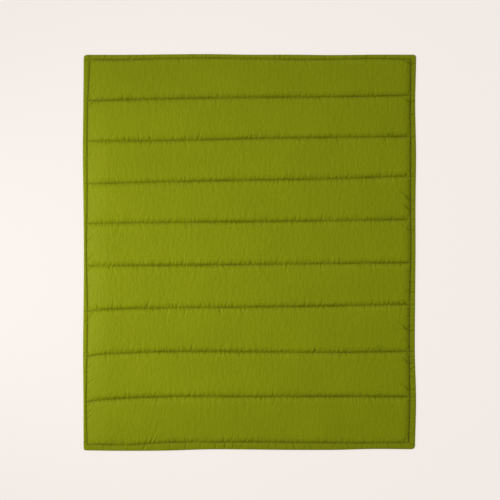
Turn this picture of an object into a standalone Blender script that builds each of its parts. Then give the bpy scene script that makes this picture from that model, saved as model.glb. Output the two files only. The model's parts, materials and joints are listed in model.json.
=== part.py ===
"""Camp quilt: a front and a back cloth over loose batting, quilted across into nine channels.

The quilt lies flat with its front up. +X is across it, +Y runs from the foot to the head,
and the origin is on the ground under its centre. Each quilting seam is a hinge: the layers
are stitched flat there, and the padded channels on either side fold towards each other.
"""

import math

import bmesh
import bpy
from mathutils import Euler, Matrix, Vector

# Overall sizes, in metres
QUILT_WIDTH = 1.270
CHANNEL_WIDTHS = (0.147, 0.157, 0.159, 0.159, 0.164, 0.163, 0.172, 0.172, 0.178)
HEAD_HEM = 0.016
FOOT_HEM = 0.024
SIDE_HEM = 0.018
SEAM_RISE = 0.0155  # each seam runs out of square by this much over the width

# Section
SEAM_HEIGHT = 0.006  # quilting thread above the ground
LOFT = 0.019  # crown of a channel above the ground
HEM_THICKNESS = 0.009  # turned layers between the topstitch and the edge
CLOTH = 0.0005
STITCHED_CORE = 0.0010  # batting pressed flat between the cloths under a stitch
END_ROUND = 0.050  # a channel closes down to the side topstitch over this length
BELLY_ROUND = 0.022  # width of the rounded strip between a stitch and the flat underside
FILL_GAP = 0.0010  # room between the batting and the inside of the cloths

# Thread
QUILTING_THREAD_RADIUS = 0.0011
TOPSTITCH_RADIUS = 0.0005
TOPSTITCH_LIFT = 0.0006  # topstitch above the bottom of its groove
TOPSTITCH_CORNER = 0.0015  # the side rows stop this far from the head and foot rows
QUILTING_THREAD_SIDES = 8
TOPSTITCH_SIDES = 6

# Folding
FOLD_LIMIT = math.radians(130)  # furthest that two channels fold towards each other
FOLD_MARGIN = 0.014  # slope kept free beyond that limit
CLEARANCE = 0.0003

# Shape of the rounded sections
CROWN_POWER = 3.0
BELLY_POWER = 2.0
HEM_POWER = 2.2
HEM_FULLNESS = 0.8
EDGE_SHARPNESS = 4

# Where the cloth surfaces are sampled: shares of a channel, of a hem and of END_ROUND
CROWN_SHARES = (0, 0.07, 0.2, 0.36, 0.5, 0.64, 0.8, 0.93, 1)
HEM_SHARES = (0.25, 0.6, 0.9, 1)
END_SHARES = (0, 0.15, 0.45, 1)
BELLY_SHARES = (0, 0.35, 1)

CHANNELS = len(CHANNEL_WIDTHS)
BASE_CHANNEL = 5  # stays on the ground while the others gather towards it
QUILT_LENGTH = HEAD_HEM + sum(CHANNEL_WIDTHS) + FOOT_HEM
STITCHED_HALF = CLOTH + STITCHED_CORE / 2
STITCH_X = QUILT_WIDTH / 2 - SIDE_HEM
HEAD_STITCH_Y = QUILT_LENGTH / 2 - HEAD_HEM
FOOT_STITCH_Y = -QUILT_LENGTH / 2 + FOOT_HEM
SEAM_SLOPE = SEAM_RISE / QUILT_WIDTH
EDGE_HALF = CLOTH + CLEARANCE / 2  # the two cloths meet here, edge to edge

# A folded neighbour leaves each channel a wedge this steep, measured from the seam
FOLD_SLOPE = math.tan((math.pi - FOLD_LIMIT) / 2) - FOLD_MARGIN
SEAM_RELIEF = STITCHED_HALF / FOLD_SLOPE
TOPSTITCH_HEIGHT = SEAM_HEIGHT + STITCHED_HALF + TOPSTITCH_LIFT + TOPSTITCH_RADIUS
TOPSTITCH_STOP = (TOPSTITCH_HEIGHT + TOPSTITCH_RADIUS - SEAM_HEIGHT) / FOLD_SLOPE

FRONT_GREEN = (0.185, 0.235, 0.012, 1)
BACK_GREEN = (0.150, 0.195, 0.012, 1)
BATTING_WHITE = (0.80, 0.79, 0.75, 1)
THREAD_OLIVE = (0.110, 0.100, 0.020, 1)


def clear_scene():
    for item in list(bpy.data.objects):
        bpy.data.objects.remove(item, do_unlink=True)


def make_material(name, colour, roughness):
    material = bpy.data.materials.new(name)
    material.use_nodes = True
    shader = material.node_tree.nodes["Principled BSDF"]
    shader.inputs["Base Color"].default_value = colour
    shader.inputs["Roughness"].default_value = roughness
    shader.inputs["Metallic"].default_value = 0
    material.diffuse_color = colour
    return material


def add_object(name, mesh_data, pivot, material):
    """One sub-part, hung on the pivot that its channel turns about."""
    mesh = bpy.data.meshes.new(name)
    mesh_data.to_mesh(mesh)
    mesh_data.free()
    mesh.shade_smooth()
    mesh.set_sharp_from_angle(angle=math.radians(40))
    mesh.materials.append(material)
    item = bpy.data.objects.new(name, mesh)
    bpy.context.collection.objects.link(item)
    item.parent = pivot
    item.matrix_parent_inverse = pivot.matrix_world.inverted()
    return item


# Lines across the quilt


def line_y(line, x):
    """Height up the quilt of stitch line 0 (head topstitch), 1 to 8 (seams) or 9 (foot topstitch)."""
    centre = HEAD_STITCH_Y - sum(CHANNEL_WIDTHS[:line])
    return centre + SEAM_SLOPE * x if 0 < line < CHANNELS else centre


def seam_point(seam, x=0.0):
    return Vector((x, line_y(seam, x), SEAM_HEIGHT))


def channel_sides(channel, x):
    """Where a channel's cloth starts and stops, from head to foot, clear of the seams it folds at."""
    head = line_y(channel - 1, x) - (SEAM_RELIEF if channel > 1 else 0)
    foot = line_y(channel, x) + (SEAM_RELIEF if channel < CHANNELS else 0)
    return head, foot


# Thickness of the quilt above and below the stitched plane


def fold_wedge(channel, x, y):
    """Room between the stitched plane and a neighbour that is folded up against it."""
    room = [math.inf]
    if channel > 1:
        room.append(line_y(channel - 1, x) - y)
    if channel < CHANNELS:
        room.append(y - line_y(channel, x))
    return min(room) * FOLD_SLOPE


def hem_share(x, y):
    """0 at the topstitch and inside it, 1 at the outer edge."""
    side = (abs(x) - STITCH_X) / SIDE_HEM
    head = (y - HEAD_STITCH_Y) / HEAD_HEM
    foot = (FOOT_STITCH_Y - y) / FOOT_HEM
    return max(0.0, side, head, foot)


def hem_half(share):
    """Half the thickness of the turned hem: a soft roll that closes at the edge."""
    closing = share**EDGE_SHARPNESS
    flat = STITCHED_HALF * (1 - closing) + EDGE_HALF * closing
    roll = max(0.0, 1 - abs(2 * share - 1) ** HEM_POWER) ** HEM_FULLNESS
    return flat + (HEM_THICKNESS / 2 - STITCHED_HALF) * roll


def rounded(distance, reach, power):
    return 1 - max(0.0, 1 - distance / reach) ** power


def front_half(channel, x, y):
    share = hem_share(x, y)
    if share > 0:
        return min(hem_half(share), fold_wedge(channel, x, y))
    head, foot = channel_sides(channel, x)
    across = 1 - abs(1 - 2 * (head - y) / (head - foot)) ** CROWN_POWER
    along = rounded(STITCH_X - abs(x), END_ROUND, CROWN_POWER)
    crown = STITCHED_HALF + (LOFT - SEAM_HEIGHT - STITCHED_HALF) * across * along
    return min(crown, fold_wedge(channel, x, y))


def back_half(channel, x, y):
    share = hem_share(x, y)
    if share > 0:
        return min(hem_half(share), fold_wedge(channel, x, y))
    head, foot = channel_sides(channel, x)
    across = rounded(min(head - y, y - foot), BELLY_ROUND, BELLY_POWER)
    along = rounded(STITCH_X - abs(x), BELLY_ROUND, BELLY_POWER)
    belly = STITCHED_HALF + (SEAM_HEIGHT - STITCHED_HALF) * across * along
    return min(belly, fold_wedge(channel, x, y))


# Grids that the surfaces are drawn on


def grid_columns(reach, shares):
    """x of each column: the hem, the rounded end of the channel and its straight middle."""
    hem = [STITCH_X + SIDE_HEM * share for share in HEM_SHARES]
    end = [STITCH_X - reach * share for share in shares]
    right = sorted(hem + end)
    return [-x for x in reversed(right)] + right


def grid_rows(channel, across):
    """Each row as (share of the way from head side to foot side, shift towards the foot)."""
    head_hem = [(0, -HEAD_HEM * share) for share in reversed(HEM_SHARES)]
    foot_hem = [(1, FOOT_HEM * share) for share in HEM_SHARES]
    rows = list(across)
    if channel == 1:
        rows = head_hem + rows
    if channel == CHANNELS:
        rows = rows + foot_hem
    return rows


def row_y(channel, row, x):
    share, shift = row
    head, foot = channel_sides(channel, x)
    return head + (foot - head) * share - shift


def add_grid_faces(mesh, grid, facing_up):
    for upper, lower in zip(grid, grid[1:]):
        for left in range(len(upper) - 1):
            corners = [upper[left], lower[left], lower[left + 1], upper[left + 1]]
            mesh.faces.new(corners if facing_up else reversed(corners))


def cloth_sheet(rows, columns, point, facing_up):
    """Open grid of cloth with its outer side facing up or down."""
    mesh = bmesh.new()
    grid = [[mesh.verts.new(point(row, x)) for x in columns] for row in rows]
    add_grid_faces(mesh, grid, facing_up)
    return mesh


def thicken(item):
    """The cloth's own thickness, laid towards the batting."""
    wall = item.modifiers.new("cloth", "SOLIDIFY")
    wall.thickness = CLOTH
    wall.offset = -1
    wall.use_even_offset = True


# Sub-parts


def add_front_shell(channel, pivot, material):
    def point(row, x):
        y = row_y(channel, row, x)
        return x, y, SEAM_HEIGHT + front_half(channel, x, y)

    rows = grid_rows(channel, [(share, 0) for share in CROWN_SHARES])
    mesh = cloth_sheet(rows, grid_columns(END_ROUND, END_SHARES), point, facing_up=True)
    thicken(add_object(f"front_shell_{channel}", mesh, pivot, material))


def add_back_shell(channel, pivot, material):
    def point(row, x):
        y = row_y(channel, row, x)
        return x, y, SEAM_HEIGHT - back_half(channel, x, y)

    head_side = [(0, BELLY_ROUND * share) for share in BELLY_SHARES]
    foot_side = [(1, -BELLY_ROUND * share) for share in reversed(BELLY_SHARES)]
    rows = grid_rows(channel, head_side + foot_side)
    columns = grid_columns(BELLY_ROUND, BELLY_SHARES)
    mesh = cloth_sheet(rows, columns, point, facing_up=False)
    thicken(add_object(f"back_shell_{channel}", mesh, pivot, material))


def add_batting(channel, pivot, material):
    """The fill of one channel, between the two cloths and clear of the stitches."""
    right = sorted(STITCH_X - END_ROUND * share for share in END_SHARES[1:])
    columns = [-x for x in reversed(right)] + right
    gap = CLOTH / math.cos(math.atan(FOLD_SLOPE)) + FILL_GAP
    mesh = bmesh.new()
    grids = []
    for side, half in ((1, front_half), (-1, back_half)):
        grid = []
        for share in CROWN_SHARES[1:-1]:
            places = [(x, row_y(channel, (share, 0), x)) for x in columns]
            heights = [SEAM_HEIGHT + side * (half(channel, x, y) - gap) for x, y in places]
            grid.append([mesh.verts.new((x, y, z)) for (x, y), z in zip(places, heights)])
        add_grid_faces(mesh, grid, facing_up=side > 0)
        grids.append(rim_of(grid))
    top, bottom = grids
    for now in range(len(top)):
        after = (now + 1) % len(top)
        mesh.faces.new([top[now], top[after], bottom[after], bottom[now]])
    add_object(f"batting_{channel}", mesh, pivot, material)


def rim_of(grid):
    """The border points of a grid, once round."""
    right = [row[-1] for row in grid[1:-1]]
    left = [row[0] for row in reversed(grid[1:-1])]
    return grid[0] + right + list(reversed(grid[-1])) + left


def add_thread(name, start, end, radius, sides, pivot, material):
    """A straight run of stitching."""
    run = end - start
    turn = run.to_track_quat("Z", "Y").to_matrix().to_4x4()
    mesh = bmesh.new()
    bmesh.ops.create_cone(
        mesh,
        cap_ends=True,
        segments=sides,
        radius1=radius,
        radius2=radius,
        depth=run.length,
        matrix=Matrix.Translation((start + end) / 2) @ turn,
    )
    add_object(name, mesh, pivot, material)


def add_quilting_thread(seam, pivot, material):
    reach = QUILT_WIDTH / 2 - HEM_THICKNESS / 2
    start, end = seam_point(seam, -reach), seam_point(seam, reach)
    name = f"quilting_thread_{seam}"
    add_thread(name, start, end, QUILTING_THREAD_RADIUS, QUILTING_THREAD_SIDES, pivot, material)


def add_topstitch(name, start, end, pivot, material):
    add_thread(name, start, end, TOPSTITCH_RADIUS, TOPSTITCH_SIDES, pivot, material)


def add_side_topstitches(channel, pivot, material):
    for name, x in (("left", -STITCH_X), ("right", STITCH_X)):
        head_stop = TOPSTITCH_STOP if channel > 1 else TOPSTITCH_CORNER
        foot_stop = TOPSTITCH_STOP if channel < CHANNELS else TOPSTITCH_CORNER
        start = Vector((x, line_y(channel - 1, x) - head_stop, TOPSTITCH_HEIGHT))
        end = Vector((x, line_y(channel, x) + foot_stop, TOPSTITCH_HEIGHT))
        add_topstitch(f"{name}_topstitch_{channel}", start, end, pivot, material)


def add_end_topstitch(name, line, pivot, material):
    y = line_y(line, 0)
    start = Vector((-STITCH_X, y, TOPSTITCH_HEIGHT))
    end = Vector((STITCH_X, y, TOPSTITCH_HEIGHT))
    add_topstitch(name, start, end, pivot, material)


def add_pivot(name, place, parent):
    """An empty on a hinge line, turned so that its X axis lies along the seam."""
    pivot = bpy.data.objects.new(name, None)
    bpy.context.collection.objects.link(pivot)
    turn = Euler((0, 0, math.atan(SEAM_SLOPE))).to_matrix().to_4x4()
    pivot.matrix_world = Matrix.Translation(place) @ turn
    if parent:
        pivot.parent = parent
        pivot.matrix_parent_inverse = parent.matrix_world.inverted()
    bpy.context.view_layer.update()
    return pivot


def add_pivots():
    """Pivot of each channel: the base channel's centre, then seam after seam towards both ends."""
    base = add_pivot("base_pivot", Vector((0, line_y(BASE_CHANNEL, 0), 0)), None)
    pivots = {BASE_CHANNEL: base}
    for channel in range(BASE_CHANNEL - 1, 0, -1):
        pivots[channel] = add_pivot(f"seam_{channel}_pivot", seam_point(channel), pivots[channel + 1])
    for channel in range(BASE_CHANNEL + 1, CHANNELS + 1):
        seam = channel - 1
        pivots[channel] = add_pivot(f"seam_{seam}_pivot", seam_point(seam), pivots[channel - 1])
    return pivots


def build():
    clear_scene()
    front_cloth = make_material("front_cloth", FRONT_GREEN, 0.55)
    back_cloth = make_material("back_cloth", BACK_GREEN, 0.6)
    fill = make_material("fill", BATTING_WHITE, 0.95)
    thread = make_material("thread", THREAD_OLIVE, 0.7)
    pivots = add_pivots()
    for channel in range(1, CHANNELS + 1):
        pivot = pivots[channel]
        add_front_shell(channel, pivot, front_cloth)
        add_back_shell(channel, pivot, back_cloth)
        add_batting(channel, pivot, fill)
        add_side_topstitches(channel, pivot, thread)
    for seam in range(1, CHANNELS):
        nearer = seam + 1 if seam < BASE_CHANNEL else seam
        add_quilting_thread(seam, pivots[nearer], thread)
    add_end_topstitch("head_topstitch", 0, pivots[1], thread)
    add_end_topstitch("foot_topstitch", CHANNELS, pivots[CHANNELS], thread)


build()
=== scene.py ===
"""Looks of the camp quilt: two gathered cloths, the batting between them and all its stitching.

Each cloth is drawn on a grid whose rows follow the seams. The pads, hems and gathers are modelled,
the loose folds between them come from a cloth simulation, and every grid is cut in the middle of
each channel, so that each piece is centred on one seam.
"""

import json
import math

import bmesh
import bpy
import numpy as np
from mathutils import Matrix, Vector


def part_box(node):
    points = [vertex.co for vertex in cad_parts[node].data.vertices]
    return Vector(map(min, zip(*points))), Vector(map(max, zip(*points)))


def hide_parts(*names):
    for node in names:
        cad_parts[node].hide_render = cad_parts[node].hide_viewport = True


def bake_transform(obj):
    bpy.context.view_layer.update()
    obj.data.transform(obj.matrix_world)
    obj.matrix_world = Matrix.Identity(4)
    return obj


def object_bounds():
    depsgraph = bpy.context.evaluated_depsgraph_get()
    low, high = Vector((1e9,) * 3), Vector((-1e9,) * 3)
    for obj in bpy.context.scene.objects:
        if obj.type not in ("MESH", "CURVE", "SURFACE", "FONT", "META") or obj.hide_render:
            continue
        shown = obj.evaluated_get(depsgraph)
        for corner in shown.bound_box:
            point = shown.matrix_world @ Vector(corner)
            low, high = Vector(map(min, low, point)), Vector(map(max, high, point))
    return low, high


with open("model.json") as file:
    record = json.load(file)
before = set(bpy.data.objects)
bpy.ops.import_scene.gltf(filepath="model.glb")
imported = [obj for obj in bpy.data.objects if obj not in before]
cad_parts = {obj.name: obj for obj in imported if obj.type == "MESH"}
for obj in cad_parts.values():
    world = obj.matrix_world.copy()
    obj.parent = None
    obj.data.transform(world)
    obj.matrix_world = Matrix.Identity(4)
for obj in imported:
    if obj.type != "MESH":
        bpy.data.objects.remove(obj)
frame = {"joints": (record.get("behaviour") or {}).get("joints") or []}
CAD_LOW, CAD_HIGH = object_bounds()

# Places taken from the frame
SEAMS = sorted(frame["joints"], key=lambda joint: int(joint["name"].split("_")[1]))
CHANNELS = len(SEAMS) + 1
HALF_WIDTH = CAD_HIGH.x
HEAD_Y, FOOT_Y = CAD_HIGH.y, CAD_LOW.y
LENGTH = HEAD_Y - FOOT_Y
STITCH_X = sum(corner.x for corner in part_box("right_topstitch_5")) / 2
HEAD_STITCH_Y = sum(corner.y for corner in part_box("head_topstitch")) / 2
FOOT_STITCH_Y = sum(corner.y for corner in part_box("foot_topstitch")) / 2
SIDE_HEM = HALF_WIDTH - STITCH_X
FOOT_HEM = FOOT_STITCH_Y - FOOT_Y
SEAM_Z = SEAMS[0]["pos_m"][2]
SEAM_SLOPE = SEAMS[0]["axis"][1] / SEAMS[0]["axis"][0]

# Section of the quilt, in metres
CLOTH = 0.0004
STITCHED_HALF = 0.0010
PAD_HEIGHT = 0.0112  # the plateau of a channel above the stitched plane
PAD_SHOULDER, PAD_POWER = 0.026, 2.6  # how soon and how steeply a channel fills out
LEFT_SHOULDER, LEFT_POWER = 0.085, 1.6  # the fill thins out gently towards the left side
RIGHT_SHOULDER, RIGHT_POWER = 0.044, 3.4
BELLY_SHOULDER, BELLY_POWER = 0.024, 2.2  # the same on the underside
HEM_HALF = 0.0042
LEAST = 0.0001  # no face comes nearer to the stitched plane or the ground than this
CORNER_POWER = 4  # roundness of the four corners
FILL_GAP = 0.0003  # between the batting and the cloths
FILL_SHARE = 0.9  # how much of the room under the cloth the batting takes up
FILL_EDGE = 0.993  # the batting ends just inside the side topstitches

# How each seam strays from its straight line, in millimetres towards the head: at the left
# edge, a quarter, half and three quarters of the way across, and at the right edge
SEAM_STRAY_MM = (
    (-5.0, -1.0, 0.0, -1.5, 0.5),
    (-2.5, -4.0, 0.0, 0.0, 0.0),
    (-6.5, -2.5, 0.0, 1.0, 8.0),
    (0.5, 1.0, 0.0, -0.5, 0.5),
    (2.5, 0.5, 0.0, -0.5, -1.0),
    (-1.0, 0.5, 0.0, 0.5, 3.5),
    (-1.0, 5.5, 0.5, -5.0, -5.0),
    (-3.0, 5.0, 1.0, -1.5, -7.0),
)
SEAM_HOOK_MM = (0, 0, 0, 0, 0, 11, 9, 9)  # droop of a seam close to the left edge
HOOK_REACH = 0.050

# How each topstitch and each outer edge strays outwards, in millimetres, at nine even places
# from head to foot along the sides, and from left to right along the head and the foot
STITCH_STRAY_MM = {
    "left": (-7, 2, 4, 4, 7, 3, 4, 8, 4),
    "right": (0.5, -2, -0.5, -1.5, 0.5, -4.5, -6, -4.5, -9),
    "head": (-2, -2, 2, 4, 2, -1, -1, 2, -2),
    "foot": (2.5, 6, -4.5, -5.5, -6.5, -4.5, -3, -1.5, -4.5),
}
EDGE_STRAY_MM = {
    "left": (0, 1.5, 3.5, 1, -0.5, 0.5, 2.5, 1, 0.5),
    "right": (2, -1.5, 1.5, -0.5, -0.5, -2, -3, 1.5, -2.5),
    "head": (0.5, 0.5, 2, 3, 1, 1, -0.5, 1, 1),
    "foot": (2, 3.5, 2.5, -2, -1.5, 0, 0, -3.5, -2.5),
}

# Folds, in metres: how deep they are sunk and how far apart they start
FRONT_GATHERS = {"depth": 0.0038, "spacing": 0.0095}
BACK_GATHERS = {"depth": 0.0012, "spacing": 0.0110}
FRONT_PULL, BACK_PULL = 0.0085, 0.0030
FRONT_CREASE, BACK_CREASE = 0.0050, 0.0024
FULL_DEPTH_AT = 0.003  # a fold reaches its depth this far from its stitch
LOOSE_REACH = 0.020  # the cloth is loosest this close to a seam
PINCH_REACH = 0.0040  # a seam pinches the hem over this distance
SIDE_BAND = 0.86  # the side pulls stay outside this share of the half width
LONG_PULLS = 0.24  # the share of the side pulls that are long and deep
HEM_TURN, HEM_DEPTH = 0.4, 0.6  # a pull's slant and depth where it goes on across the hem

# Cloth simulation
SIMULATED_FRAMES = 6
FOLD_BLUR = 9  # rows or columns: broader swells belong to the modelled pads

# Stitching, in metres
STITCH_PITCH = 0.0062
STITCH_LENGTH = 0.0044
STITCH_RADIUS = 0.0006
STITCH_LIFT = 0.55  # of its radius: a stitch lies nearly half sunk in the cloth

# Colours and cloth
FRONT_LIGHT = (0.246, 0.282, 0.0026, 1)
FRONT_DARK = (0.164, 0.193, 0.0010, 1)
BACK_LIGHT = (0.208, 0.240, 0.0030, 1)
BACK_DARK = (0.140, 0.168, 0.0014, 1)
# Painted shade: the dark brownish tone the cloth turns to in the shaded grooves at the stitches and
# hems
SEAM_SHADE_TONE = (0.078, 0.072, 0.0020, 1)
SHEEN_TONE = (0.75, 0.85, 0.15, 1)
THREAD_LIGHT = (0.120, 0.114, 0.008, 1)
THREAD_DARK = (0.055, 0.053, 0.004, 1)
BATTING_LIGHT = (0.86, 0.85, 0.82, 1)
BATTING_DARK = (0.62, 0.61, 0.57, 1)
PAPER_TONE = (0.14, 0.131, 0.124, 1)
PAPER_GLOW = (0.785, 0.734, 0.694, 1)
YARN_PITCH = 0.0009
# Painted shade at the stitches and hems: how far it reaches
SHADE_REACH = 0.0030  # the cloth is darker this close to a stitch
LEFT_SHADE = 2.2  # the shade fades this many times sooner at the brightly lit left side

# Studio
FLOOR_SIZE = 40
FLOOR_Z = -0.0002
LAMP_PLACE, LAMP_TARGET = Vector((-2.5, -0.2, 1.9)), Vector((-0.42, -0.03, 0))
WINDOW_PLACE = Vector((-0.6, 1.5, 1.5))
VIEW_CENTRE = (0.0012, 0.0092)
QUILT_SHARE_OF_VIEW = 0.6632  # width of the quilt in the width of the view

SEED = 20  # of every random draw, so that each run makes the same quilt


# ---------------------------------------------------------------- lines across the quilt


def even_curve(values, share):
    """A smooth curve through values at even places, read at shares from 0 to 1."""
    share = np.clip(share, 0, 1)
    flat = resample(np.array(values, float), np.linspace(0, 1, len(values)), share.ravel(), 0)
    return flat.reshape(share.shape)


def resample(values, old, new, axis):
    """Values on old stations read at new ones, smoothly (Catmull-Rom)."""
    values = np.moveaxis(values, axis, 0)
    at = np.interp(new, old, np.arange(len(old)))
    low = np.clip(np.floor(at).astype(int), 0, len(old) - 2)
    share = (at - low).reshape(-1, *[1] * (values.ndim - 1))
    a, b, c, d = (values[np.clip(low + k, 0, len(old) - 1)] for k in (-1, 0, 1, 2))
    cubic = 2 * a - 5 * b + 4 * c - d + share * (3 * (b - c) + d - a)
    bent = b + 0.5 * share * (c - a + share * cubic)
    return np.moveaxis(bent, 0, axis)


def line_y(line, x):
    """y of stitch line 0 (head topstitch), 1 to 8 (seams) or 9 (foot topstitch), as sewn."""
    share = (x + HALF_WIDTH) / (2 * HALF_WIDTH)
    if line == 0:
        return HEAD_STITCH_Y + even_curve(STITCH_STRAY_MM["head"], share) / 1000
    if line == CHANNELS:
        return FOOT_STITCH_Y - even_curve(STITCH_STRAY_MM["foot"], share) / 1000
    straight = SEAMS[line - 1]["pos_m"][1] + SEAM_SLOPE * x
    hook = SEAM_HOOK_MM[line - 1] * np.exp(-(x + HALF_WIDTH) / HOOK_REACH)
    return straight + (even_curve(SEAM_STRAY_MM[line - 1], share) - hook) / 1000


def side_x(table, reach, y):
    """x of the left and right sides at y: a topstitch or an outer edge, with its strays."""
    share = (HEAD_Y - y) / LENGTH
    left = -reach - even_curve(table["left"], share) / 1000
    right = reach + even_curve(table["right"], share) / 1000
    return left, right


# ---------------------------------------------------------------- the grid of a cloth


def graded(width, first, growth, widest):
    """Shares of a channel from 0 to 0.5, in steps that start fine at the seam and grow."""
    steps, step = [0.0], first
    while steps[-1] + step * 1.5 < width / 2:
        steps.append(steps[-1] + step)
        step = min(step * growth, widest)
    return np.append(np.array(steps) / width, 0.5)


class Grid:
    """Rows and columns of a cloth: rows follow the seams, columns run from head to foot."""

    def __init__(self, step_x, first, growth, widest, hem_steps):
        hem = np.sin(np.linspace(0, math.pi / 2, hem_steps + 1)[1:])
        inner = np.linspace(-1, 1, int(2 * STITCH_X / step_x) + 1)
        self.across = np.concatenate([-1 - hem[::-1], inner, 1 + hem])
        rows = [-hem[::-1]]
        centre = np.zeros(1)
        for channel in range(CHANNELS):
            width = float(line_y(channel, centre)[0] - line_y(channel + 1, centre)[0])
            half = graded(width, first, growth, widest)
            rows.append(channel + np.concatenate([half, 1 - half[-2:0:-1]]))
        rows.append(np.concatenate([[CHANNELS], CHANNELS + hem]))
        self.down = np.concatenate(rows)
        self.hem_across = np.clip(np.abs(self.across) - 1, 0, 1)[None, :]
        self.hem_down = np.clip(np.maximum(-self.down, self.down - CHANNELS), 0, 1)[:, None]
        self.hem = np.maximum(self.hem_across, self.hem_down)
        self.place()
        self.place_hem()

    def place(self):
        """Place of every point inside the topstitching, and its distances to the stitches."""
        share_x = (np.clip(self.across, -1, 1)[None, :] + 1) / 2
        upper = np.clip(np.floor(self.down), 0, CHANNELS - 1).astype(int)
        share_y = np.clip(self.down - upper, 0, 1)[:, None]
        self.x = np.tile(share_x * 2 * STITCH_X - STITCH_X, (len(self.down), 1))
        for _ in range(3):
            head_line, foot_line = np.empty_like(self.x), np.empty_like(self.x)
            for channel in range(CHANNELS):
                rows = upper == channel
                head_line[rows] = line_y(channel, self.x[rows])
                foot_line[rows] = line_y(channel + 1, self.x[rows])
            self.y = head_line * (1 - share_y) + foot_line * share_y
            left, right = side_x(STITCH_STRAY_MM, STITCH_X, self.y)
            self.x = left + (right - left) * share_x
        self.above = head_line - self.y
        self.below = self.y - foot_line
        self.side = np.minimum(self.x - left, right - self.x)

    def place_hem(self):
        """Carry the outer rows and columns out to the edge, round at the corners."""
        edge_left, edge_right = side_x(EDGE_STRAY_MM, HALF_WIDTH, self.y)
        share = (self.x + HALF_WIDTH) / (2 * HALF_WIDTH)
        edge_head = HEAD_Y + even_curve(EDGE_STRAY_MM["head"], share) / 1000
        edge_foot = FOOT_Y - even_curve(EDGE_STRAY_MM["foot"], share) / 1000
        edge_x = np.where(self.across[None, :] < 0, edge_left, edge_right)
        edge_y = np.where(self.down[:, None] < 1, edge_head, edge_foot)
        across = np.tile(self.hem_across, (len(self.down), 1))
        down = np.tile(self.hem_down, (1, len(self.across)))
        corner = (across > 0) & (down > 0)
        norm = (across**CORNER_POWER + down**CORNER_POWER) ** (1 / CORNER_POWER)
        draw_in = np.where(corner, np.maximum(across, down) / np.maximum(norm, 1e-9), 1)
        self.x = self.x + (edge_x - self.x) * across * draw_in
        self.y = self.y + (edge_y - self.y) * down * draw_in


# ---------------------------------------------------------------- cloth simulation


def simulated_heights(grid):
    """Height of the front cloth over its stitches, from a cloth simulation with slack cloth.

    The cloth is pinned along all its stitching, cut a little larger than the space between,
    and blown up by the batting, so it gathers into folds that run out from the seams."""
    rows, columns = grid.x.shape
    rng = np.random.default_rng(SEED)
    on_seam = np.isin(grid.down, np.arange(CHANNELS + 1))[:, None]
    on_side = (np.abs(np.abs(grid.across) - 1) < 1e-9)[None, :]
    pinned = on_seam | on_side | (grid.hem > 0)
    start = 0.0018 + 0.0004 * rng.standard_normal((rows, columns))
    place = np.stack([grid.x, grid.y, np.where(pinned, 0, start)], -1)
    mesh = grid_mesh("simulated_cloth", place.reshape(-1, 3), quads(rows, columns))
    cloth = bpy.data.objects.new("simulated_cloth", mesh)
    bpy.context.scene.collection.objects.link(cloth)
    cloth.vertex_groups.new(name="stitched").add(np.flatnonzero(pinned).tolist(), 1, "REPLACE")
    modifier = cloth.modifiers.new("cloth", "CLOTH")
    settings = modifier.settings
    settings.quality = 5
    settings.mass = 0.001
    settings.tension_stiffness = settings.compression_stiffness = 15
    settings.shear_stiffness = 5
    settings.bending_stiffness = 0.005
    settings.use_pressure = True
    settings.uniform_pressure_force = 5
    settings.vertex_group_mass = "stitched"
    settings.shrink_min = settings.shrink_max = -0.015
    settings.effector_weights.gravity = 0
    modifier.collision_settings.use_collision = False
    modifier.point_cache.frame_end = SIMULATED_FRAMES + 1
    scene = bpy.context.scene
    for now in range(1, SIMULATED_FRAMES + 1):
        scene.frame_set(now)
    puffed = cloth.evaluated_get(bpy.context.evaluated_depsgraph_get())
    found = np.empty(rows * columns * 3, np.float32)
    puffed.data.vertices.foreach_get("co", found)
    scene.frame_set(1)
    bpy.data.objects.remove(cloth)
    return found.reshape(rows, columns, 3)[..., 2].astype(float)



def smooth_along(values, sigma, axis):
    """Gaussian blur with the edges held."""
    reach = int(3 * sigma) + 1
    weights = np.exp(-0.5 * (np.arange(-reach, reach + 1) / sigma) ** 2)
    weights /= weights.sum()
    pad = [(reach, reach) if k == axis else (0, 0) for k in range(values.ndim)]
    padded = np.pad(values, pad, mode="edge")
    size = values.shape[axis]
    return sum(w * padded.take(range(k, k + size), axis) for k, w in enumerate(weights))


def spread(values, old, new):
    """Values on one grid read on another, and nothing on the hem."""
    read = resample(resample(values, old.down, new.down, 0), old.across, new.across, 1)
    return np.where(new.hem > 0, 0, read)


# ---------------------------------------------------------------- shape of the cloths


def shoulder(distance, reach, power):
    """Rises steeply from a stitch line and levels off to 1 at the reach."""
    return 1 - (1 - np.clip(distance / reach, 0, 1)) ** power


def slow_noise(along, seed, *lengths):
    """A gentle random wave along a line, between about -1 and 1, from a few wavelengths."""
    rng = np.random.default_rng(seed)
    total = 0
    for length in lengths:
        total = total + np.sin(along * 2 * math.pi / length + rng.uniform(0, 2 * math.pi))
    return total / len(lengths)


def hem_roll(grid, half):
    """Height of the turned hem over the stitched plane, pinched where a seam runs across it."""
    share = grid.hem
    roll = np.clip(1 - np.abs(2 * share - 1) ** 2.6, 0, 1) ** 0.6
    pinch = 1
    for seam in range(1, CHANNELS):
        away = (grid.y - line_y(seam, grid.x)) / PINCH_REACH
        pinch = pinch - 0.7 * np.exp(-(away**2))
    return STITCHED_HALF * (1 - share**6) + (half - STITCHED_HALF) * roll * pinch


def gather(across, along, slant, width, reach):
    """One fold that runs out of a stitch: a sunk crease with a ridge beside it, fading inwards."""
    offset = (across - slant * along) / width
    crease = np.exp(-(offset**2)) - 0.38 * np.exp(-((offset - 1.9) ** 2))
    return crease * np.exp(-((along / reach) ** 2)) * (along >= 0)


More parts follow.
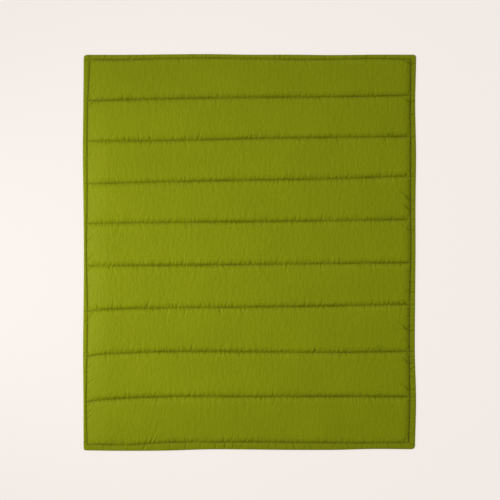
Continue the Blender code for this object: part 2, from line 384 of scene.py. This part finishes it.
def seam_gathers(grid, rng, depth, spacing):
    """Short folds on both sides of every seam and inside the head and foot topstitches."""
    sunk = np.zeros_like(grid.x)
    nominal = np.clip(grid.across, -1, 1) * STITCH_X
    for channel in range(CHANNELS):
        rows = np.flatnonzero((grid.down >= channel) & (grid.down <= channel + 1))
        for distance, share in ((grid.above, 0.75), (grid.below, 1.0)):
            at = -STITCH_X
            while at < STITCH_X:
                at += spacing * rng.gamma(2.2, 0.45)
                reach = rng.uniform(0.007, 0.017) * (2.2 if rng.random() < 0.15 else 1)
                width = rng.uniform(0.0020, 0.0038)
                slant = rng.normal(0, 0.30)
                strength = share * depth * rng.uniform(0.15, 1.0) ** 1.6
                span = 3.5 * width + 1.5 * reach * abs(slant) + 0.012
                near = np.flatnonzero(np.abs(nominal - at) < span)
                part = np.ix_(rows, near)
                sunk[part] += strength * gather(grid.x[part] - at, distance[part], slant, width, reach)
    return np.where(grid.hem <= 0, sunk, 0)


def side_pulls(rng):
    """Pulls of the topstitch along one side: their place, strength, reach, slant and width."""
    pulls = []
    at = FOOT_STITCH_Y
    while at < HEAD_STITCH_Y:
        at += 0.024 * rng.gamma(2.0, 0.5)
        long = rng.random() < LONG_PULLS
        reach = rng.uniform(0.018, 0.030) if long else rng.uniform(0.006, 0.012)
        strength = rng.uniform(0.75, 1.0) if long else rng.uniform(0.1, 0.6)
        slant = rng.uniform(0.7, 1.3) if long else rng.normal(0, 0.6)
        width = rng.uniform(0.0027, 0.0036) if long else rng.uniform(0.0020, 0.0030)
        pulls.append((at, strength, reach, slant, width))
    return pulls


def side_gathers(grid, rng, depth):
    """Slanting folds drawn out of the side topstitches, which turn back across the hem."""
    sunk = np.zeros_like(grid.x)
    for side in (-1, 1):
        inner = np.flatnonzero((np.abs(grid.across) <= 1) & (side * grid.across > SIDE_BAND))
        outer = np.flatnonzero(side * grid.across > 1)
        side_depth = depth * (1.0 if side > 0 else 0.4)
        for at, strength, reach, slant, width in side_pulls(rng):
            rows = np.flatnonzero(np.abs(grid.y[:, inner[0]] - at) < 0.06)
            part = np.ix_(rows, inner)
            fold = gather(grid.y[part] - at, grid.side[part], slant, width, reach)
            sunk[part] += side_depth * strength * fold
            part = np.ix_(rows, outer)
            out = grid.hem[part] * SIDE_HEM
            fold = gather(grid.y[part] - at, out, HEM_TURN * slant, width, SIDE_HEM)
            sunk[part] += HEM_DEPTH * side_depth * strength * fold
    return sunk


def hem_creases(grid, rng, depth):
    """Creases across the turned hem, where the topstitch gathers it."""
    sunk = np.zeros_like(grid.x)
    for hem, along in ((grid.hem_across, grid.y), (grid.hem_down, grid.x)):
        for side in (-1, 1):
            if hem is grid.hem_across:
                part = np.ix_(np.arange(len(grid.down)), np.flatnonzero(side * grid.across > 1))
            else:
                beyond = grid.down > CHANNELS if side > 0 else grid.down < 0
                part = np.ix_(np.flatnonzero(beyond), np.arange(len(grid.across)))
            place, share = along[part], grid.hem[part]
            at = -LENGTH / 2
            while at < LENGTH / 2:
                at += 0.016 * rng.gamma(2.0, 0.5)
                slant = rng.normal(0, 0.010)
                offset = (place - at - slant * (share - 0.5)) / rng.uniform(0.0016, 0.0030)
                crease = np.exp(-(offset**2)) - 0.15 * np.exp(-((offset - 1.8) ** 2))
                sunk[part] += depth * rng.uniform(0.05, 1) ** 3 * crease
    return sunk * np.sin(np.clip(grid.hem, 0, 1) * math.pi) ** 0.4


def shoulder_reaches(grid, seed, mean):
    """How far a channel takes to fill out from its two seams, which differs along each seam."""
    rows = np.clip(np.floor(grid.down), 0, CHANNELS - 1)
    above, below = np.empty_like(grid.x), np.empty_like(grid.x)
    for channel in range(CHANNELS):
        part = rows == channel
        above[part] = mean * (1 + 0.36 * slow_noise(grid.x[part], seed + channel, 0.9, 0.31, 0.12))
        below[part] = mean * (1 + 0.36 * slow_noise(grid.x[part], seed + 40 + channel, 0.8, 0.27, 0.11))
    return above, below


def front_surface(grid, puffed):
    """Outer face of the front cloth."""
    rng = np.random.default_rng(SEED + 1)
    reach_above, reach_below = shoulder_reaches(grid, SEED + 100, PAD_SHOULDER)
    rise = shoulder(grid.above, reach_above, PAD_POWER)
    rise *= shoulder(grid.below, reach_below, PAD_POWER)
    left_rise = shoulder(grid.side, LEFT_SHOULDER, LEFT_POWER)
    right_rise = shoulder(grid.side, RIGHT_SHOULDER, RIGHT_POWER)
    rise *= np.where(grid.across[None, :] < 0, left_rise, right_rise)
    nearest = np.minimum(grid.above, grid.below)
    swell = 1 + 0.04 * np.sin(grid.x * 7.3 + grid.down[:, None] * 2.1)
    loose = 0.08 + 0.50 * np.exp(-((nearest / LOOSE_REACH) ** 2))
    height = STITCHED_HALF + (PAD_HEIGHT - STITCHED_HALF) * rise * swell + loose * puffed
    height -= seam_gathers(grid, rng, **FRONT_GATHERS) * np.clip(nearest / FULL_DEPTH_AT, 0, 1)
    pulled = side_gathers(grid, rng, FRONT_PULL)
    height -= pulled * np.clip(grid.side / FULL_DEPTH_AT, 0, 1)
    height = np.maximum(height, STITCHED_HALF)
    hem = hem_roll(grid, HEM_HALF) - hem_creases(grid, rng, FRONT_CREASE) - pulled
    height = np.where(grid.hem > 0, np.maximum(hem, LEAST), height)
    return np.stack([grid.x, grid.y, SEAM_Z + height], -1)


def back_surface(grid, puffed):
    """Outer face of the back cloth, which the quilt's weight flattens on the ground."""
    rng = np.random.default_rng(SEED + 3)
    reach_above, reach_below = shoulder_reaches(grid, SEED + 200, BELLY_SHOULDER)
    drop = shoulder(grid.above, reach_above, BELLY_POWER)
    drop *= shoulder(grid.below, reach_below, BELLY_POWER)
    drop *= shoulder(grid.side, BELLY_SHOULDER, BELLY_POWER)
    nearest = np.minimum(grid.above, grid.below)
    depth = STITCHED_HALF + (SEAM_Z + 0.0006 - STITCHED_HALF) * drop + 0.4 * puffed
    depth -= seam_gathers(grid, rng, **BACK_GATHERS) * np.clip(nearest / FULL_DEPTH_AT, 0, 1)
    pulled = side_gathers(grid, rng, BACK_PULL)
    depth -= pulled * np.clip(grid.side / FULL_DEPTH_AT, 0, 1)
    depth = np.clip(depth, STITCHED_HALF, SEAM_Z - LEAST)
    hem = hem_roll(grid, HEM_HALF) - hem_creases(grid, rng, BACK_CREASE) - pulled
    depth = np.where(grid.hem > 0, np.maximum(hem, LEAST), depth)
    return np.stack([grid.x, grid.y, SEAM_Z - depth], -1)


# ---------------------------------------------------------------- meshes


def quads(rows, columns):
    index = np.arange(rows * columns).reshape(rows, columns)
    return np.stack([index[:-1, :-1], index[1:, :-1], index[1:, 1:], index[:-1, 1:]], -1).reshape(-1, 4)


def grid_mesh(name, points, faces):
    """A mesh from arrays of points and four-sided faces."""
    mesh = bpy.data.meshes.new(name)
    mesh.vertices.add(len(points))
    mesh.vertices.foreach_set("co", np.asarray(points, np.float32).ravel())
    mesh.loops.add(faces.size)
    mesh.loops.foreach_set("vertex_index", faces.astype(np.int32).ravel())
    mesh.polygons.add(len(faces))
    mesh.polygons.foreach_set("loop_start", np.arange(0, faces.size, faces.shape[1], dtype=np.int32))
    mesh.update(calc_edges=True)
    return mesh


def surface_normals(points):
    """Unit normals of a grid of points whose columns run left to right and rows head to foot."""
    across = np.gradient(points, axis=1)
    down = np.gradient(points, axis=0)
    normals = np.cross(down, across)
    return normals / np.maximum(np.linalg.norm(normals, axis=-1, keepdims=True), 1e-12)


def rim_quads(rows, columns, count):
    """Faces that close the border between the outer grid and the inner one behind it."""
    index = np.arange(rows * columns).reshape(rows, columns)
    loop = np.concatenate([index[0, :-1], index[:-1, -1], index[-1, :0:-1], index[:0:-1, 0]])
    after = np.roll(loop, -1)
    return np.stack([loop, after, after + count, loop + count], -1)


def closed_sheet(name, outer, normals, flat, nearness, thickness, facing_up):
    """A closed piece of cloth from its outer face, thickened inwards."""
    rows, columns = outer.shape[:2]
    count = rows * columns
    inner = outer - normals * thickness
    front = quads(rows, columns)
    faces = [front, front[:, ::-1] + count, rim_quads(rows, columns, count)]
    if not facing_up:
        faces = [part[:, ::-1] for part in faces]
    faces = np.concatenate(faces)
    mesh = grid_mesh(name, np.concatenate([outer.reshape(-1, 3), inner.reshape(-1, 3)]), faces)
    mesh.shade_smooth()
    loops = faces.ravel()
    both = np.concatenate([normals.reshape(-1, 3), -normals.reshape(-1, 3)])
    shown = both[loops]
    rim = slice(2 * front.size, None)
    face_normals = np.empty(len(faces) * 3, np.float32)
    mesh.polygons.foreach_get("normal", face_normals)
    shown[rim] = np.repeat(face_normals.reshape(-1, 3)[2 * len(front):], 4, axis=0)
    mesh.normals_split_custom_set(shown.astype(np.float32))
    layer = mesh.uv_layers.new(name="cloth")
    uv = np.tile(flat.reshape(-1, 2), (2, 1))[loops]
    layer.data.foreach_set("uv", uv.astype(np.float32).ravel())
    shade = mesh.attributes.new("stitch_nearness", "FLOAT", "POINT")
    shade.data.foreach_set("value", np.tile(nearness.ravel(), 2).astype(np.float32))
    piece = bpy.data.objects.new(name, mesh)
    bpy.context.scene.collection.objects.link(piece)
    return piece


def piece_rows(grid, seam):
    """The rows of the grid from the middle of one channel to the middle of the next."""
    first = -1 if seam == 1 else seam - 0.5
    last = CHANNELS + 1 if seam == CHANNELS - 1 else seam + 0.5
    found = np.flatnonzero((grid.down >= first - 1e-9) & (grid.down <= last + 1e-9))
    return slice(found[0], found[-1] + 1)


def fold_with(piece):
    """Bake the piece's placement into its mesh."""
    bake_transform(piece)


def cad_nodes(kind, seam):
    """The CAD nodes of one kind that the piece on this seam stands for."""
    nodes = [f"{kind}_{seam}"]
    if seam == CHANNELS - 1:
        nodes.append(f"{kind}_{seam + 1}")
    return nodes


# ---------------------------------------------------------------- materials


class Socket:
    """A shader value that can be used in ordinary arithmetic."""

    def __init__(self, tree, socket):
        self.tree, self.socket = tree, socket

    def node(self, kind, settings=None, **values):
        """Add a node; its settings are set first, then its sockets by name or number."""
        node = self.tree.nodes.new(kind)
        for key, value in (settings or {}).items():
            setattr(node, key, value)
        for key, value in values.items():
            target = node.inputs[int(key[1:]) if key[0] == "_" else key.replace("_", " ")]
            if isinstance(value, Socket):
                self.tree.links.new(value.socket, target)
            else:
                target.default_value = value
        return node

    def out(self, node, name=0):
        return Socket(self.tree, node.outputs[name])

    def math(self, operation, first, second=0.0):
        settings = {"operation": operation}
        return self.out(self.node("ShaderNodeMath", settings, _0=first, _1=second))

    def __add__(self, other):
        return self.math("ADD", self, other)

    def __sub__(self, other):
        return self.math("SUBTRACT", self, other)

    def __mul__(self, other):
        return self.math("MULTIPLY", self, other)

    __radd__ = __add__
    __rmul__ = __mul__

    def noise(self, place, **values):
        """Flat noise from 0 to 1 over two coordinates."""
        settings = {"noise_dimensions": "2D"}
        return self.out(self.node("ShaderNodeTexNoise", settings, Vector=place, **values))

    def sine(self):
        return self.math("SINE", self)

    def mix(self, low, high):
        """A colour between low and high, where this value goes from 0 to 1."""
        node = self.node("ShaderNodeMix", {"data_type": "RGBA"}, _0=self, _6=low, _7=high)
        return self.out(node, 2)


def new_material(name, roughness, sheen=0.0, sheen_tint=(1, 1, 1, 1), specular=0.5):
    """A material with a Principled shader, and a socket to start its nodes from."""
    material = bpy.data.materials.new(name)
    material.use_nodes = True
    shader = material.node_tree.nodes["Principled BSDF"]
    shader.inputs["Roughness"].default_value = roughness
    shader.inputs["Sheen Weight"].default_value = sheen
    shader.inputs["Sheen Roughness"].default_value = 0.4
    shader.inputs["Sheen Tint"].default_value = sheen_tint
    shader.inputs["Specular IOR Level"].default_value = specular
    return material, shader, Socket(material.node_tree, None)


def link(maker, value, target):
    maker.tree.links.new(value.socket, target)


def cloth_material(name, light, dark, seam_shade_tone):
    """Plain-weave shell cloth: fine threads, a soft crumple, patchy dye and painted shade at the
    stitches.
    """
    material, shader, maker = new_material(name, 0.5, 0.12, SHEEN_TONE, 0.06)
    uv = maker.out(maker.node("ShaderNodeUVMap", {"uv_map": "cloth"}))
    place = maker.out(maker.node("ShaderNodeVectorMath", {"operation": "SCALE"}, _0=uv, Scale=LENGTH))
    axes = maker.node("ShaderNodeSeparateXYZ", _0=place)
    across, along = maker.out(axes, 0), maker.out(axes, 1)
    turn = 2 * math.pi / YARN_PITCH
    weave = (across * turn).sine() * (along * turn).sine() * 0.5 + 0.5
    narrow = {"operation": "MULTIPLY"}
    tall = maker.out(maker.node("ShaderNodeVectorMath", narrow, _0=place, _1=(1.0, 0.42, 1.0)))
    slubs = maker.noise(place, Scale=210.0, Detail=3.0)
    crumple = maker.noise(tall, Scale=75.0, Detail=4.0, Roughness=0.6)
    patches = maker.noise(place, Scale=6.0, Detail=3.0)
    near = maker.out(maker.node("ShaderNodeAttribute", {"attribute_name": "stitch_nearness"}), "Fac")
    dye = (patches * 0.35 + slubs * 0.95 + weave * 0.12 - 0.21).mix(dark, light)
    # Painted shade: near the stitches the cloth colour is pulled towards the seam tone, standing in for
    # the shade in the grooves
    painted_stitch_shade = (near * (0.35 + 0.5 * crumple)).mix(dye, seam_shade_tone)
    link(maker, painted_stitch_shade, shader.inputs["Base Color"])
    link(maker, 0.44 + crumple * 0.16, shader.inputs["Roughness"])
    soft = maker.node("ShaderNodeBump", Height=crumple, Distance=0.0026, Strength=1.0)
    threads = {"Height": weave + slubs * 0.6, "Distance": 0.00006, "Strength": 0.6}
    fine = maker.node("ShaderNodeBump", Normal=maker.out(soft), **threads)
    link(maker, maker.out(fine), shader.inputs["Normal"])
    return material



def thread_material(name, light, dark):
    """Twisted sewing thread."""
    material, shader, maker = new_material(name, 0.55, sheen=0.05, specular=0.12)
    uv = maker.out(maker.node("ShaderNodeUVMap", {"uv_map": "thread"}))
    axes = maker.node("ShaderNodeSeparateXYZ", _0=uv)
    twist = ((maker.out(axes, 0) * 5 + maker.out(axes, 1)) * (2 * math.pi)).sine() * 0.5 + 0.5
    link(maker, twist.mix(dark, light), shader.inputs["Base Color"])
    link(maker, 0.5 + twist * 0.15, shader.inputs["Roughness"])
    bump = maker.node("ShaderNodeBump", Height=twist, Distance=0.00012, Strength=0.7)
    link(maker, maker.out(bump), shader.inputs["Normal"])
    return material


def fill_material():
    """White polyester batting, matted fibres."""
    material, shader, maker = new_material("quilt_batting", 0.95, sheen=0.4)
    coords = maker.out(maker.node("ShaderNodeTexCoord"), "Object")
    matted = {"Scale": 260.0, "Detail": 6.0, "Distortion": 1.5}
    fibres = maker.out(maker.node("ShaderNodeTexNoise", Vector=coords, **matted))
    link(maker, fibres.mix(BATTING_DARK, BATTING_LIGHT), shader.inputs["Base Color"])
    link(maker, 0.85 + fibres * 0.1, shader.inputs["Roughness"])
    bump = maker.node("ShaderNodeBump", Height=fibres, Distance=0.001, Strength=0.8)
    link(maker, maker.out(bump), shader.inputs["Normal"])
    return material


# ---------------------------------------------------------------- pieces


def nearness_of(grid):
    """Painted shade at the stitches: 1 on a stitch line, fading out over a few millimetres of cloth,
    and unevenly along a seam.
    """
    left = grid.across[None, :] < 0
    seam = np.minimum(np.abs(grid.above), np.abs(grid.below))
    side = np.abs(grid.side) * np.where(left, LEFT_SHADE, 1.0)
    line = np.rint(np.clip(grid.down, 0, CHANNELS)).astype(int)
    drawn = np.empty_like(grid.x)
    for seam_line in range(CHANNELS + 1):
        rows = line == seam_line
        drawn[rows] = 0.80 + 0.55 * slow_noise(grid.x[rows], SEED + 300 + seam_line, 0.9, 0.33, 0.14)
    # Painted shade: stronger along the right topstitch, which the lamp at the left leaves in shade, and
    # a floor of painted shade over the hem, very faint on the lit left hem
    side_near = np.where(left, 1.0, 1.5) * np.exp(-side / SHADE_REACH)
    near = np.maximum(np.clip(drawn, 0.2, 1.2) * np.exp(-seam / SHADE_REACH), side_near)
    width = np.where(grid.hem_across >= grid.hem_down, SIDE_HEM, FOOT_HEM)
    on_left_hem = left & (grid.hem_across > 0)
    hem_near = np.exp(-grid.hem * width * np.where(on_left_hem, LEFT_SHADE, 1.0) / SHADE_REACH)
    hem_near = np.maximum(hem_near, np.where(on_left_hem, 0.04, 0.18))
    return np.where(grid.hem > 0, hem_near, near)


def add_covers(kind, surface, grid, material, facing_up):
    """The pieces of one cloth, each centred on a seam."""
    normals = surface_normals(surface) * (1 if facing_up else -1)
    flat = np.stack([(grid.x + HALF_WIDTH) / LENGTH, (grid.y - FOOT_Y) / LENGTH], -1)
    nearness = nearness_of(grid)
    for seam in range(1, CHANNELS):
        part = piece_rows(grid, seam)
        outer = surface[part]
        name = f"{kind}_cover_{seam}"
        piece = closed_sheet(name, outer, normals[part], flat[part], nearness[part], CLOTH, facing_up)
        piece.data.materials.append(material)
        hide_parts(*cad_nodes(f"{kind}_shell", seam))
        fold_with(piece)



def add_fill(front, back, fine, coarse, material):
    """The batting, one sheet pressed flat at the seams, cut into a piece for each seam."""
    columns = np.flatnonzero(np.abs(coarse.across) < FILL_EDGE)[::3]
    upper = resample(resample(front[..., 2], fine.down, coarse.down, 0), fine.across, coarse.across, 1)
    halves = (fill_half(upper - SEAM_Z), -fill_half(SEAM_Z - back[..., 2]))
    for seam in range(1, CHANNELS):
        part = piece_rows(coarse, seam)
        rows = np.arange(part.start, part.stop)
        rows = rows[(coarse.down[rows] > 0.02) & (coarse.down[rows] < CHANNELS - 0.02)]
        kept = np.ix_(np.unique(np.concatenate([rows[::2], rows[-1:]])), columns)
        flat = np.stack([coarse.x[kept], coarse.y[kept]], -1)
        layers = [np.concatenate([flat, SEAM_Z + half[kept][..., None]], -1) for half in halves]
        shape = flat.shape[:2]
        count = shape[0] * shape[1]
        face = quads(*shape)
        faces = np.concatenate([face, face[:, ::-1] + count, rim_quads(*shape, count)])
        mesh = grid_mesh(f"fill_{seam}", np.concatenate(layers).reshape(-1, 3), faces)
        mesh.shade_smooth()
        mesh.materials.append(material)
        piece = bpy.data.objects.new(f"fill_{seam}", mesh)
        bpy.context.scene.collection.objects.link(piece)
        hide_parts(*cad_nodes("batting", seam))
        fold_with(piece)


def fill_half(cloth):
    """How far the batting reaches from the stitched plane: under the lowest cloth round about."""
    lowest = cloth
    for axis, reach in ((0, 3), (1, 6)):
        shifted = [np.roll(lowest, step, axis) for step in range(-reach, reach + 1)]
        lowest = np.minimum.reduce(shifted)
    return np.maximum(lowest * FILL_SHARE - CLOTH - FILL_GAP, 0.00015)


def bead():
    """One stitch of thread, lying along X: its points, faces and thread coordinates."""
    sides, rings = 6, ((-0.5, 0.0), (-0.38, 0.75), (0.0, 1.0), (0.38, 0.75), (0.5, 0.0))
    points, coords = [], []
    for along, girth in rings:
        for k in range(sides):
            turn = 2 * math.pi * k / sides
            dip = -1.1 * (2 * along) ** 2
            points.append((along * STITCH_LENGTH, girth * math.cos(turn), girth * math.sin(turn) + dip))
            coords.append((along + 0.5, k / sides))
    points = np.array(points)
    points[:, 1:] *= STITCH_RADIUS
    faces = []
    for ring in range(len(rings) - 1):
        for k in range(sides):
            after = (k + 1) % sides
            low, high = ring * sides, (ring + 1) * sides
            faces.append((low + k, high + k, high + after, low + after))
    return points, faces, coords


def stitch_row(path, up):
    """Stitches laid at an even pitch along a path of points; up is 1 on the front and -1 behind."""
    steps = np.linalg.norm(np.diff(path, axis=0), axis=1)
    run = np.concatenate([[0], np.cumsum(steps)])
    count = max(int(run[-1] / STITCH_PITCH), 1)
    at = (np.arange(count) + 0.5) * run[-1] / count
    centre = np.stack([np.interp(at, run, path[:, k]) for k in range(3)], -1)
    ahead = np.stack([np.interp(at + 0.001, run, path[:, k]) for k in range(3)], -1)
    behind = np.stack([np.interp(at - 0.001, run, path[:, k]) for k in range(3)], -1)
    along = ahead - behind
    along /= np.linalg.norm(along, axis=1, keepdims=True)
    out = np.tile([0.0, 0.0, float(up)], (count, 1))
    out -= along * (along * out).sum(1, keepdims=True)
    out /= np.linalg.norm(out, axis=1, keepdims=True)
    beside = np.cross(out, along)
    return centre + out * STITCH_RADIUS * STITCH_LIFT, along, beside, out


def add_stitches(name, rows, material, nodes):
    """All the stitches of a piece as one mesh of beads."""
    shape, faces, coords = bead()
    points, polygons, thread = [], [], []
    for path, up in rows:
        for centre, along, beside, out in zip(*stitch_row(path, up)):
            base = len(points) * len(shape)
            points.append(centre + shape[:, :1] * along + shape[:, 1:2] * beside + shape[:, 2:] * out)
            polygons.append(np.array(faces) + base)
            thread.append(coords)
    points = np.concatenate(points)
    polygons = np.concatenate(polygons)
    mesh = grid_mesh(name, points, polygons)
    layer = mesh.uv_layers.new(name="thread")
    layer.data.foreach_set("uv", np.concatenate(thread)[polygons.ravel()].astype(np.float32).ravel())
    mesh.shade_smooth()
    mesh.materials.append(material)
    piece = bpy.data.objects.new(name, mesh)
    bpy.context.scene.collection.objects.link(piece)
    close_ends(mesh)
    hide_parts(*nodes)
    fold_with(piece)


def close_ends(mesh):
    """Each bead's end ring is one point: merge it, so that the bead is closed."""
    work = bmesh.new()
    work.from_mesh(mesh)
    bmesh.ops.remove_doubles(work, verts=work.verts, dist=1e-7)
    bmesh.ops.dissolve_degenerate(work, edges=work.edges, dist=1e-7)
    work.to_mesh(mesh)
    work.free()


def add_all_stitches(faces, material):
    """Quilting stitches on the seams and topstitches round the hem, on both faces."""
    for seam in range(1, CHANNELS):
        quilting, topstitch = [], []
        for face, grid, up in faces:
            left, right = (int(np.argmin(np.abs(grid.across - side))) for side in (-1, 1))
            across_hem = np.flatnonzero(np.abs(grid.across) < 1.9)
            quilting.append((face[nearest_row(grid, seam), across_hem], up))
            part = piece_rows(grid, seam)
            run = np.arange(part.start, part.stop)
            run = run[(grid.down[run] >= 0) & (grid.down[run] <= CHANNELS)]
            topstitch += [(face[run, column], up) for column in (left, right)]
            if seam in (1, CHANNELS - 1):
                end = nearest_row(grid, 0 if seam == 1 else CHANNELS)
                topstitch.append((face[end, left + 1:right], up))
        nodes = cad_nodes("left_topstitch", seam) + cad_nodes("right_topstitch", seam)
        if seam == 1:
            nodes.append("head_topstitch")
        if seam == CHANNELS - 1:
            nodes.append("foot_topstitch")
        add_stitches(f"seam_stitches_{seam}", quilting, material, [f"quilting_thread_{seam}"])
        add_stitches(f"hem_stitches_{seam}", topstitch, material, nodes)


def nearest_row(grid, down):
    return int(np.argmin(np.abs(grid.down - down)))


# ---------------------------------------------------------------- scene


def add_floor():
    """Plain pale paper, a little lit from within so that it stays even all over."""
    bpy.ops.object.select_all(action="DESELECT")
    bpy.ops.mesh.primitive_plane_add(size=FLOOR_SIZE, location=(0, 0, FLOOR_Z))
    floor = bpy.context.object
    floor.name = "floor"
    material, shader, _ = new_material("floor_paper", 0.9, specular=0.0)
    shader.inputs["Base Color"].default_value = PAPER_TONE
    shader.inputs["Emission Color"].default_value = PAPER_GLOW
    shader.inputs["Emission Strength"].default_value = 1.0
    floor.data.materials.append(material)


def add_lights():
    """A white room, a soft lamp at the left and a weaker light from beyond the head."""
    world = bpy.data.worlds.new("studio")
    bpy.context.scene.world = world
    world.use_nodes = True
    background = world.node_tree.nodes["Background"]
    background.inputs["Color"].default_value = (1, 1, 1, 1)
    background.inputs["Strength"].default_value = 0.475
    lamp = bpy.data.lights.new("umbrella", "SPOT")
    lamp.energy = 262
    lamp.spot_size = math.radians(50)
    lamp.spot_blend = 1
    lamp.shadow_soft_size = 0.4
    add_lamp(lamp, LAMP_PLACE, LAMP_TARGET)
    window = bpy.data.lights.new("window", "SUN")
    window.energy = 0.75
    window.angle = math.radians(22)
    add_lamp(window, WINDOW_PLACE, Vector())


def add_lamp(light, place, target):
    lamp = bpy.data.objects.new(light.name, light)
    lamp.location = place
    lamp.rotation_euler = (target - place).to_track_quat("-Z", "Y").to_euler()
    bpy.context.scene.collection.objects.link(lamp)


def add_camera():
    """Straight above the quilt, far away with a long lens."""
    lens = bpy.data.cameras.new("camera")
    lens.lens = 85
    lens.sensor_width = 36
    shown = 2 * HALF_WIDTH / QUILT_SHARE_OF_VIEW
    height = shown * lens.lens / lens.sensor_width
    camera = bpy.data.objects.new("camera", lens)
    camera.location = (*VIEW_CENTRE, height)
    bpy.context.scene.collection.objects.link(camera)
    bpy.context.scene.camera = camera
    bpy.context.scene.view_settings.view_transform = "Standard"



def main():
    simulated = Grid(step_x=0.0048, first=0.004, growth=1.15, widest=0.007, hem_steps=4)
    fine = Grid(step_x=0.0030, first=0.0013, growth=1.13, widest=0.0031, hem_steps=9)
    coarse = Grid(step_x=0.0042, first=0.0018, growth=1.18, widest=0.0052, hem_steps=7)
    folds = np.zeros_like(simulated.x)
    folds = simulated_heights(simulated)
    folds -= smooth_along(folds, FOLD_BLUR, 1)
    front = front_surface(fine, spread(folds, simulated, fine))
    back = back_surface(coarse, spread(folds[:, ::-1], simulated, coarse))
    front_cloth = cloth_material("olive_shell", FRONT_LIGHT, FRONT_DARK, SEAM_SHADE_TONE)
    back_cloth = cloth_material("olive_lining", BACK_LIGHT, BACK_DARK, SEAM_SHADE_TONE)
    thread = thread_material("quilting_thread", THREAD_LIGHT, THREAD_DARK)
    add_fill(front, back, fine, coarse, fill_material())
    add_covers("front", front, fine, front_cloth, facing_up=True)
    add_covers("back", back, coarse, back_cloth, facing_up=False)
    add_all_stitches(((front, fine, 1), (back, coarse, -1)), thread)
    add_floor()
    add_lights()
    add_camera()


main()
